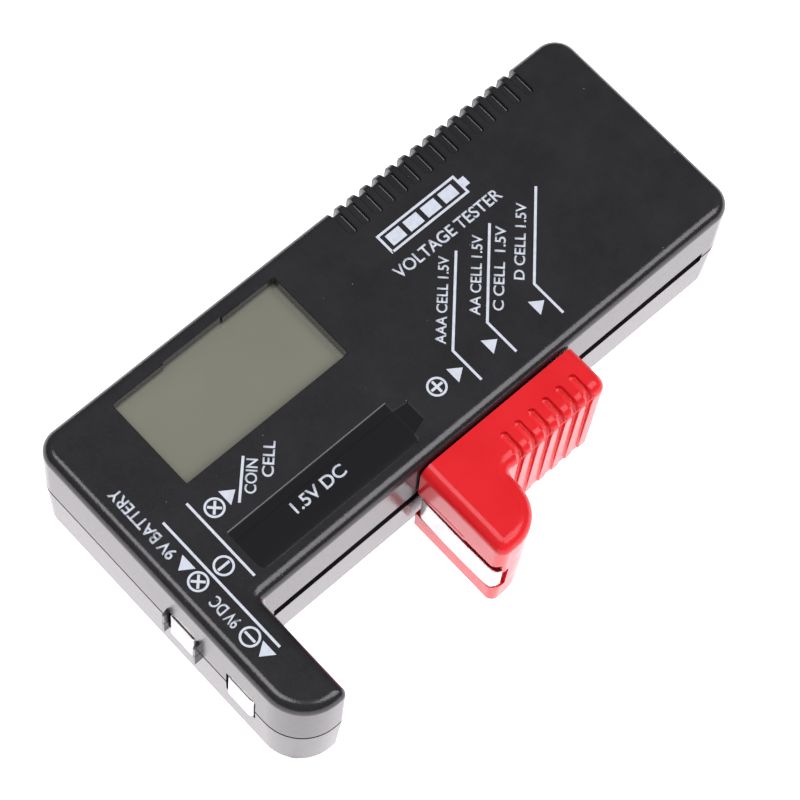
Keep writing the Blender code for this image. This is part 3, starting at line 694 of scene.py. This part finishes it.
def back_cover():
    rings = [ring(CASE_CORNERS, BACK_DRAFT + BACK_FILLET, 0.0)]
    for k in range(1, 5):
        angle = math.pi / 2 * k / 4
        rings.append(ring(CASE_CORNERS, BACK_DRAFT + BACK_FILLET * (1 - math.sin(angle)),
                          BACK_FILLET * (1 - math.cos(angle))))
    rings += [ring(CASE_CORNERS, 0.0, SEAM_BOTTOM - SEAM_CHAMFER),
              ring(CASE_CORNERS, SEAM_CHAMFER, SEAM_BOTTOM)]
    cover = mesh_object("back_cover", loft(rings))
    cavity = [ring(CAVITY_CORNERS, BACK_DRAFT, WALL), ring(CAVITY_CORNERS, 0.0, SEAM_TOP + 1)]
    boolean(cover, loft(cavity))
    boolean(cover, boss_cylinders(BACK_BOSS_RADIUS, 0.6, SEAM_BOTTOM - 0.1), "UNION")
    boolean(cover, boss_cylinders(BORE_RADIUS, -1.0, 13.0))
    levels = ((COUNTERBORE_RADIUS + OVERCUT + COUNTERBORE_CHAMFER, -OVERCUT),
              (COUNTERBORE_RADIUS, COUNTERBORE_CHAMFER), (COUNTERBORE_RADIUS, COUNTERBORE_DEPTH))
    counterbores = bmesh.new()
    for x, y in CASE_BOSSES:
        loft([circle(x, y, radius, z) for radius, z in levels], counterbores)
    boolean(cover, counterbores)
    boolean(cover, ears(8.45, SEAM_BOTTOM, 0.0), "UNION")
    boolean(cover, window_boxes())
    finish_piece(cover, CASE_PLASTIC, "case", "back_shell")


# ---------------------------------------------------------------- the slider

def grip_grooves():
    """Grooves that dip from the slider's top, step down on a facet and run down its wall.

    At the foot they widen, so that the ribs between them end in a round.
    """
    up, out = (0.0, 1.0), (-1.0, 0.0)
    stations = [((y, SLIDER_TOP), up, 0.85 + 0.11 * (GRIP_TIP - y), width)
                for y, width in rounded_end(GRIP_TIP, -1, GRIP_HALF)]
    centre = (-SLIDER_DEPTH + SLIDER_FILLET, SLIDER_TOP - SLIDER_FILLET)
    for angle, depth in ((math.radians(5.4), 1.145), (math.radians(46.6), 0.962)):
        normal = (-math.sin(angle), math.cos(angle))
        stations.append((on_arc(centre, SLIDER_FILLET, normal), normal, depth, GRIP_HALF))
    stations.append(((-SLIDER_DEPTH, SLIDER_TOP - 3.1), out, GRIP_WALL_DEPTH, GRIP_HALF))
    rib = GRIP_PITCH / 2 - GRIP_HALF
    for k in range(7):
        angle = math.pi / 2 * k / 6
        z = SLIDER_BOTTOM + rib * (1 - math.sin(angle))
        width = GRIP_HALF + (rib - 0.03) * (1 - math.cos(angle))
        stations.append(((-SLIDER_DEPTH, z), out, GRIP_WALL_DEPTH, width))
    stations.append(((-SLIDER_DEPTH, -1.0), out, GRIP_WALL_DEPTH, GRIP_HALF + rib - 0.03))
    bm = bmesh.new()
    for i in range(GRIP_COUNT):
        loft(groove(GRIP_FIRST + GRIP_PITCH * i, stations, 0.0), bm)
    return bm


def slider_grip():
    """The grip, its neck and flange, cored from below, with the pocket for the leaf."""
    rings = [ring(SLIDER_CORNERS, SLIDER_DRAFT + 0.4 * (1 - math.sin(math.pi / 8 * k)),
                  SLIDER_BOTTOM + 0.4 * (1 - math.cos(math.pi / 8 * k))) for k in range(5)]
    rings += fillet_rings(SLIDER_CORNERS, SLIDER_TOP, SLIDER_FILLET)
    grip = mesh_object("slider_grip", loft(rings))
    boolean(grip, boxes([((30.0, -0.35, -2.0), (80.0, 8.0, 30.0))]))
    neck = (NECK_START, -0.85, SLOT_LOW + GAP), (NECK_END, 2.9, SLOT_HIGH - GAP)
    flange = (NECK_START, WALL + 0.35, 8.2), (NECK_END, 3.75, 15.2)
    boolean(grip, boxes([neck]), "UNION")
    boolean(grip, boxes([flange]), "UNION")
    cores = [((x, -5.9, -1.0), (x + 6.6, -2.0, 19.6)) for x in (47.2, 55.3, 63.4)]
    cores.append(((45.6, -14.2, -1.0), (48.5, -8.6, 19.6)))
    boolean(grip, boxes(cores))
    pocket = [(-16.3, 5.05), (1.0, 5.05), (1.0, 13.2), (-10.3, 13.4), (-10.9, 13.9), (-16.3, 14.1)]
    boolean(grip, prism(pocket, POCKET_START, NECK_START, along_x))
    around = [(-17.8, 7.4), (-17.6, 6.3), (-17.0, 5.5), (-16.2, 5.05), (-16.2, 14.1), (-17.0, 14.7),
              (-17.6, 15.3), (-17.8, 15.2)]
    boolean(grip, prism(around, POCKET_START, 42.8, along_x))
    boolean(grip, boxes([((POCKET_START, -19.5, 5.9), (43.4, -16.95, 12.3))]))
    bead = [(-1.5, 13.95), (-5.5, 14.6), (-10.2, 14.75), (-10.6, 14.6), (-10.2, 14.45), (-5.5, 14.3),
            (-1.5, 13.65)]
    boolean(grip, prism(bead, POCKET_START, SLIDER_START + 0.42, along_x))
    boolean(grip, grip_grooves())
    finish_piece(grip, RED_PLASTIC, "slider", "slider_body")


# ---------------------------------------------------------------- sheet-metal contacts

def bent(route, radius):
    """A route's corners turned on arcs, as a press brake leaves them."""
    points = [Vector(p) for p in route]
    made = [points[0]]
    for before, corner, after in zip(points, points[1:], points[2:]):
        back, ahead = before - corner, after - corner
        reach = min(radius, back.length * 0.45, ahead.length * 0.45)
        start, end = corner + back.normalized() * reach, corner + ahead.normalized() * reach
        for k in range(BEND_STEPS + 1):
            t = k / BEND_STEPS
            made.append(start.lerp(corner, t).lerp(corner.lerp(end, t), t))
    return made + [points[-1]]


def leaf(name, route, low, high, body, node_name, radius=0.5):
    """Sprung strip on edge, with rounded bends and bevelled edges."""
    bm = bmesh.new()
    points = bent(route, radius)
    verts = [bm.verts.new((x, y, low)) for x, y in points]
    edges = [bm.edges.new(pair) for pair in zip(verts, verts[1:])]
    grown = bmesh.ops.extrude_edge_only(bm, edges=edges)
    moved = [item for item in grown["geom"] if isinstance(item, bmesh.types.BMVert)]
    bmesh.ops.translate(bm, verts=moved, vec=(0, 0, high - low))
    obj = mesh_object(name, bm)
    solid = obj.modifiers.new("thickness", "SOLIDIFY")
    solid.thickness = STRIP_THICKNESS * MM
    solid.offset = 0.0
    solid.use_even_offset = True
    edge = obj.modifiers.new("edge", "BEVEL")
    edge.width = 0.05 * MM
    edge.segments = 2
    edge.limit_method = "ANGLE"
    edge.angle_limit = math.radians(60)
    finish_piece(obj, NICKEL, body, node_name)


def contacts():
    """The slider's leaf, the two 9 V plates and the arm's leaf."""
    route = [(42.7, -1.35), (42.0, -1.0), (41.5, -1.15), (41.3, -2.0), (41.2, -6.5), (41.2, -12.0),
             (41.3, -15.9), (41.5, -16.8), (41.9, -17.3), (42.6, -17.45)]
    leaf("slider_leaf_strip", route, 5.4, 12.1, "slider_leaf", "slider_contact", 0.6)
    for name, middle, proud, body in (("positive", POSITIVE_Y, 0.15, "snap_positive_leaf"),
                                      ("negative", NEGATIVE_Y, 0.0, "snap_negative_leaf")):
        half = SNAP_HALF - STRIP_THICKNESS / 2 - STRIP_SHY
        low, high = middle - half, middle + half
        route = [(3.4, low), (0.3 - proud, low), (-0.1 - proud, low + 0.3),
                 (-0.1 - proud, high - 0.3), (0.3 - proud, high), (3.4, high)]
        leaf(f"snap_{name}_strip", route, CONTACT_LOW, CONTACT_HIGH, body,
             f"nine_volt_{name}_contact", 0.25)
    low = CELL_PAD_LOW + STRIP_THICKNESS / 2 + STRIP_SHY
    high = CELL_PAD_HIGH - STRIP_THICKNESS / 2 - STRIP_SHY
    face = ARM_THICKNESS
    route = [(face - 3.2, low), (face - 0.3, low), (face + 0.1, low + 0.5), (face + 0.35, low + 2.4),
             (face + 0.35, high - 2.4), (face + 0.1, high - 0.5), (face - 0.3, high), (face - 3.2, high)]
    leaf("cell_leaf_strip", route, CONTACT_LOW, CONTACT_HIGH, "cell_leaf", "cell_negative_contact")


# ---------------------------------------------------------------- display and screws

def display():
    pane = mesh_object("display_pane", loft([
        ring(rectangle((11.5, 17.2), (46.7, 38.3), 0.3), inset, z, 3)
        for inset, z in ((0.1, 20.7), (0.0, 20.8), (0.0, 21.6), (0.1, 21.7))]))
    finish_piece(pane, GLASS, "case", "lcd_front_glass")


def screw_head(index, x, y):
    """Pan-head case screw, seen at the bottom of its counterbore."""
    profile = [(0.4, 16.9), (1.1, 16.0), (1.1, 2.35), (1.9, 2.3), (2.15, 2.1), (2.2, 1.9),
               (2.2, 1.35), (2.1, 1.12), (1.85, 0.97), (1.5, 0.9)]
    loops = [circle(x, y, radius, z) for radius, z in profile]
    obj = mesh_object(f"case_screw_piece_{index}", outward(loft(loops)))
    arm, half = 1.25, 0.3
    quarter = [(half, arm), (half, half), (arm, half)]
    levels = []
    for shrink, z in ((1.0, 0.4), (0.75, 1.75)):
        cross = [turned((x, y), shrink * u, shrink * v, -turn * math.pi / 2)
                 for turn in range(4) for u, v in quarter]
        levels.append([(*point, z) for point in cross])
    boolean(obj, loft(levels))
    finish_piece(obj, STEEL, "case", f"case_screw_{index}")


# ---------------------------------------------------------------- white print on the face

def stroke(bm, points):
    """Flat polyline of constant width, mitred at its corners."""
    route = [Vector(p) for p in points]
    ways = [(end - start).normalized() for start, end in zip(route, route[1:])]
    left, right = [], []
    for point, behind, ahead in zip(route, ways[:1] + ways, ways + ways[-1:]):
        normal = Vector((-(ahead + behind).y, (ahead + behind).x)).normalized()
        reach = STROKE_WIDTH / 2 / max(normal.dot(Vector((-ahead.y, ahead.x))), 0.3)
        left.append(point + normal * reach)
        right.append(point - normal * reach)
    prism([tuple(p) for p in right + left[::-1]], FACE_Z, CASE_HEIGHT, along_z, bm)


def polygon(bm, points):
    prism(points, FACE_Z, CASE_HEIGHT, along_z, bm)


def hoop(bm, x, y):
    """Circle outline, as short flat segments that share their ends."""
    radii = (HOOP_RADIUS - HOOP_WIDTH / 2, HOOP_RADIUS + HOOP_WIDTH / 2)
    circles = [[[bm.verts.new(point) for point in circle(x, y, radius, z, HOOP_STEPS)]
                for radius in radii] for z in (FACE_Z, CASE_HEIGHT)]
    (low_in, low_out), (high_in, high_out) = circles
    for k in range(HOOP_STEPS):
        j = (k + 1) % HOOP_STEPS
        bm.faces.new((high_in[k], high_in[j], high_out[j], high_out[k]))
        bm.faces.new((low_in[k], low_out[k], low_out[j], low_in[j]))
        bm.faces.new((low_out[k], high_out[k], high_out[j], low_out[j]))
        bm.faces.new((low_in[k], low_in[j], high_in[j], high_in[k]))


def sign(bm, x, y, angle, plus):
    """A plus or minus in a circle."""
    hoop(bm, x, y)
    arm, half = SIGN_ARM, STROKE_WIDTH / 2
    outline = [(arm, -half), (arm, half), (-arm, half), (-arm, -half)]
    if plus:
        outline = [(arm, -half), (arm, half), (half, half), (half, arm),
                   (-half, arm), (-half, half), (-arm, half), (-arm, -half),
                   (-half, -half), (-half, -arm), (half, -arm), (half, -half)]
    polygon(bm, [turned((x, y), u, v, math.radians(angle)) for u, v in outline])


def lettering(bm, text, start, angle, height, length, base=None):
    """Generic lettering, its baseline from start at an angle in degrees.

    height and length are those of the whole text. base(y) gives the height of the
    surface under the letters, which is the face where base isn't given.
    """
    curve = bpy.data.curves.new("text", "FONT")
    curve.body = text
    curve.size = 1.0
    curve.offset = LETTER_WEIGHT
    curve.space_word = WORD_SPACE
    obj = add_object("text", curve)
    bpy.context.view_layer.update()
    mesh = bpy.data.meshes.new_from_object(obj.evaluated_get(bpy.context.evaluated_depsgraph_get()))
    bpy.data.objects.remove(obj)
    flat = bmesh.new()
    flat.from_mesh(mesh)
    bpy.data.meshes.remove(mesh)
    bmesh.ops.remove_doubles(flat, verts=flat.verts, dist=0.0001)
    xs = [v.co.x for v in flat.verts]
    ys = [v.co.y for v in flat.verts]
    grow_x = length / (max(xs) - min(xs))
    grow_y = height / (max(ys) - min(ys))
    grown = bmesh.ops.extrude_face_region(flat, geom=list(flat.faces))
    raised = {item for item in grown["geom"] if isinstance(item, bmesh.types.BMVert)}
    for vert in flat.verts:
        u, v = (vert.co.x - min(xs)) * grow_x, (vert.co.y - min(ys)) * grow_y
        x, y = turned(start, u, v, math.radians(angle))
        level = base(y) if base else FACE_Z
        vert.co = (x, y, level + PRINT_THICKNESS if vert in raised else level - SUNK * bool(base))
    bmesh.ops.recalc_face_normals(flat, faces=flat.faces)
    joined = bpy.data.meshes.new("text")
    flat.to_mesh(joined)
    flat.free()
    bm.from_mesh(joined)
    bpy.data.meshes.remove(joined)


def face_print():
    """Lines, arrows, polarity signs, generic lettering and a battery pictogram."""
    bm = bmesh.new()
    stroke(bm, [(6.4, 18.2), (6.4, -7.4)])
    stroke(bm, [(10.95, 18.2), (10.95, 3.2)])
    stroke(bm, [(22.2, 18.4), (16.85, 13.2)])
    for top, bend, foot in (((69.1, 22.4), 57.25, 4.15), ((76.2, 22.45), 64.4, 4.05),
                            ((86.0, 22.4), 74.25, 4.05)):
        stroke(bm, [top, (bend, 10.45), (bend, foot)])
    for x, y in ((54.4, 7.45), (61.55, 7.45), (71.4, 7.45), (15.7, 15.15)):
        polygon(bm, [(x, y - ARROW_HALF), (x + ARROW_LENGTH, y), (x, y + ARROW_HALF)])
    for x, y in ((5.25, 11.1), (5.25, -6.5)):
        polygon(bm, [(x, y - ARROW_HALF), (x, y + ARROW_HALF), (x - ARROW_LENGTH, y)])
    sign(bm, 13.6, 15.0, 45, True)
    sign(bm, 8.6, 7.3, 0, False)
    sign(bm, 4.2, 7.9, 45, True)
    sign(bm, 4.2, -3.4, 90, False)
    sign(bm, 51.4, 7.7, 0, True)
    lettering(bm, "AAA CELL 1.5V", (57.2, 11.9), 45, 1.7, 14.8)
    lettering(bm, "AA CELL 1.5V", (64.4, 12.0), 45, 1.7, 13.6)
    lettering(bm, "C CELL  1.5V", (67.6, 10.2), 45, 1.7, 14.4)
    lettering(bm, "D CELL 1.5V", (73.6, 11.9), 45, 1.7, 13.2)
    lettering(bm, "COIN", (19.6, 12.6), 45, 1.8, 5.6)
    lettering(bm, "CELL", (23.3, 12.9), 45, 1.8, 5.8)
    lettering(bm, "1.5V DC", (22.2, 6.3), 0, 2.1, 10.0, trough_floor)
    lettering(bm, "9V DC", (5.0, -0.9), 90, 2.0, 5.4)
    lettering(bm, "9V BATTERY", (5.0, 13.2), 90, 2.0, 13.7)
    stroke(bm, [(61.6, 28.6), (77.4, 28.6), (77.4, 32.0), (61.6, 32.0), (61.6, 28.4)])
    polygon(bm, [(77.6, 29.5), (78.7, 29.5), (78.7, 31.1), (77.6, 31.1)])
    for i in range(4):
        start, end = 62.5 + 3.65 * i, 65.3 + 3.65 * i
        polygon(bm, [(start, 29.25), (end, 29.25), (end, 31.35), (start, 31.35)])
    lettering(bm, "VOLTAGE TESTER", (59.4, 24.4), 0, 2.1, 21.6)
    obj = mesh_object("face_print", bm)
    obj.data.materials.append(PRINT)
    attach(obj, "case")


# ---------------------------------------------------------------- carried-over CAD nodes

def inner_materials():
    """Give the nodes that stay as in the CAD their materials."""
    board = moulded("board_mask", (0.02, 0.13, 0.05), (0.04, 0.19, 0.08), 0.4, 0.4)
    epoxy = moulded("black_epoxy", (0.012, 0.012, 0.013), (0.03, 0.03, 0.032), 0.5)
    rubber = moulded("zebra_rubber", (0.08, 0.08, 0.08), (0.16, 0.16, 0.16), 0.8)
    lacquer = moulded("resistor_lacquer", (0.48, 0.36, 0.22), (0.6, 0.47, 0.3), 0.45)
    ceramic = moulded("ceramic_dip", (0.55, 0.28, 0.08), (0.68, 0.38, 0.12), 0.5)
    red = moulded("red_vinyl", (0.48, 0.015, 0.015), (0.6, 0.03, 0.03), 0.45)
    black = moulded("black_vinyl", (0.015, 0.015, 0.015), (0.03, 0.03, 0.03), 0.45)
    chosen = {
        "circuit_board": board, "controller_blob": epoxy, "electrolytic_capacitor": epoxy,
        "boost_inductor": epoxy, "boost_transistor": epoxy, "rectifier_diode": epoxy,
        "zebra_strip": rubber,
        "load_resistor_cell": lacquer, "load_resistor_nine_volt": lacquer,
        "ceramic_capacitor_1": ceramic, "ceramic_capacitor_2": ceramic,
        "wire_nine_volt_positive": red, "wire_rail": red,
        "wire_nine_volt_negative": black, "wire_cell_negative": black,
        "contact_rail": NICKEL, "slider_wiper": NICKEL, "lcd_reflector": NICKEL,
        "lcd_back_glass": GLASS,
        "board_screw_1": STEEL, "board_screw_2": STEEL, "board_screw_3": STEEL,
    }
    for name, mat in chosen.items():
        slots = frame["nodes"][name].data.materials
        slots.clear()
        slots.append(mat)


# ---------------------------------------------------------------- stage, lights and camera

VIEW_AZIMUTH = math.radians(39.74)
VIEW_ELEVATION = math.radians(65.97)
VIEW_ROLL = math.radians(8.28)
CAMERA_PLACE = Vector((-0.15514, -0.13264, 0.45247))
CAMERA_LENS = 141.48
LIGHT_TINT = (1.0, 0.97, 1.0)
LIGHT_DISTANCE = 4.1
FLOOR_DROP = 0.1 * MM


def look(direction, roll):
    """Rotation of a camera or light that looks along direction, rolled about it."""
    ahead = Vector(direction).normalized()
    level = ahead.cross(Vector((0, 0, 1))).normalized()
    right = Matrix.Rotation(roll, 3, -ahead) @ level
    return Matrix((right, right.cross(ahead), -ahead)).transposed().to_euler()


def camera():
    data = bpy.data.cameras.new("camera")
    data.lens = CAMERA_LENS
    data.sensor_width = 36.0
    obj = add_object("camera", data)
    level = math.cos(VIEW_ELEVATION)
    ahead = (level * math.cos(VIEW_AZIMUTH), level * math.sin(VIEW_AZIMUTH),
             -math.sin(VIEW_ELEVATION))
    obj.location = CAMERA_PLACE
    obj.rotation_euler = look(ahead, VIEW_ROLL)
    bpy.context.scene.camera = obj


def softbox(name, direction, roll, width, height, radiance):
    """Area light that faces the part; roll is in degrees, radiance is what a mirror would see."""
    data = bpy.data.lights.new(name, "AREA")
    data.shape = "RECTANGLE"
    data.size = width
    data.size_y = height
    data.energy = radiance * math.pi * width * height
    data.color = LIGHT_TINT
    obj = add_object(name, data)
    towards = Vector(direction).normalized()
    obj.location = towards * LIGHT_DISTANCE
    obj.rotation_euler = look(-towards, math.radians(roll))


def floor():
    """Pale floor just below the case's back, so that the two planes don't fight."""
    mat, nodes, links = new_material("pale_floor")
    shader = nodes["Principled BSDF"]
    shader.inputs["Base Color"].default_value = (0.3, 0.3, 0.3, 1.0)
    shader.inputs["Roughness"].default_value = 1.0
    shader.inputs["Specular IOR Level"].default_value = 0.0
    shader.inputs["Emission Color"].default_value = (1.0, 0.96, 1.0, 1.0)
    shader.inputs["Emission Strength"].default_value = 1.65
    bm = bmesh.new()
    bmesh.ops.create_grid(bm, x_segments=1, y_segments=1, size=3.0,
                          matrix=Matrix.Translation((0.0, 0.0, -FLOOR_DROP)))
    mesh = bpy.data.meshes.new("floor")
    bm.to_mesh(mesh)
    bm.free()
    mesh.materials.append(mat)
    add_object("floor", mesh)


def world():
    made = bpy.data.worlds.new("studio")
    bpy.context.scene.world = made
    made.use_nodes = True
    nodes, links = made.node_tree.nodes, made.node_tree.links
    direction = node(nodes, "ShaderNodeTexCoord").outputs["Generated"]
    split = node(nodes, "ShaderNodeSeparateXYZ")
    links.new(direction, split.inputs[0])
    shade = ramp(nodes, links, split.outputs["Z"], 0.14, 0.32, (0.0, 0.7))
    links.new(shade, nodes["Background"].inputs["Color"])


def main():
    camera()
    front_cover()
    back_cover()
    slider_grip()
    contacts()
    display()
    for i, (x, y) in enumerate(CASE_BOSSES):
        screw_head(i + 1, x, y)
    face_print()
    inner_materials()
    floor()
    world()
    softbox("overhead_left", (-0.282, 0.183, 1.0), -12.0, 2.10, 1.98, 5.1)
    softbox("overhead_right", (0.352, -0.508, 1.0), 10.3, 2.16, 2.98, 4.5)
    bpy.context.scene.view_settings.view_transform = "Standard"


main()
